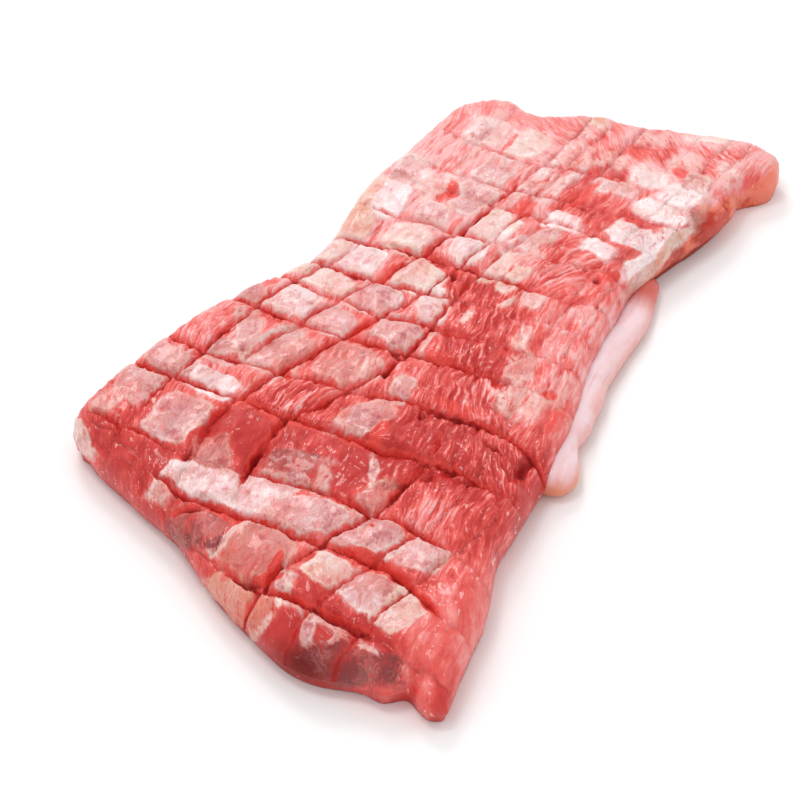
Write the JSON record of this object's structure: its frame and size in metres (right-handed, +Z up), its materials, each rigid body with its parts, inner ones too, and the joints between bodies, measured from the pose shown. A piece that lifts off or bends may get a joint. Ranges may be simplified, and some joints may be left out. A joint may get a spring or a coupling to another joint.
{
  "type": "raw beef suadero",
  "caption": "Flat slab of raw beef suadero with pale silverskin scored in a lattice, bare red muscle between, one thin rim folded under.",
  "frame": {"origin": "under the middle of the slab's bounding box, on the surface that it lies on", "axes": "+X along the slab from its broad notched end to its narrow end, +Y towards its straighter long side, +Z up out of the scored face"},
  "size_m": [0.3652, 0.2052, 0.0289],
  "materials": {
    "raw_beef": "wet raw beef: coral to crimson muscle under pale pink silverskin and cream fat"
  },
  "bodies": {
    "root": {"suadero": "raw_beef"}
  },
  "joints": []
}
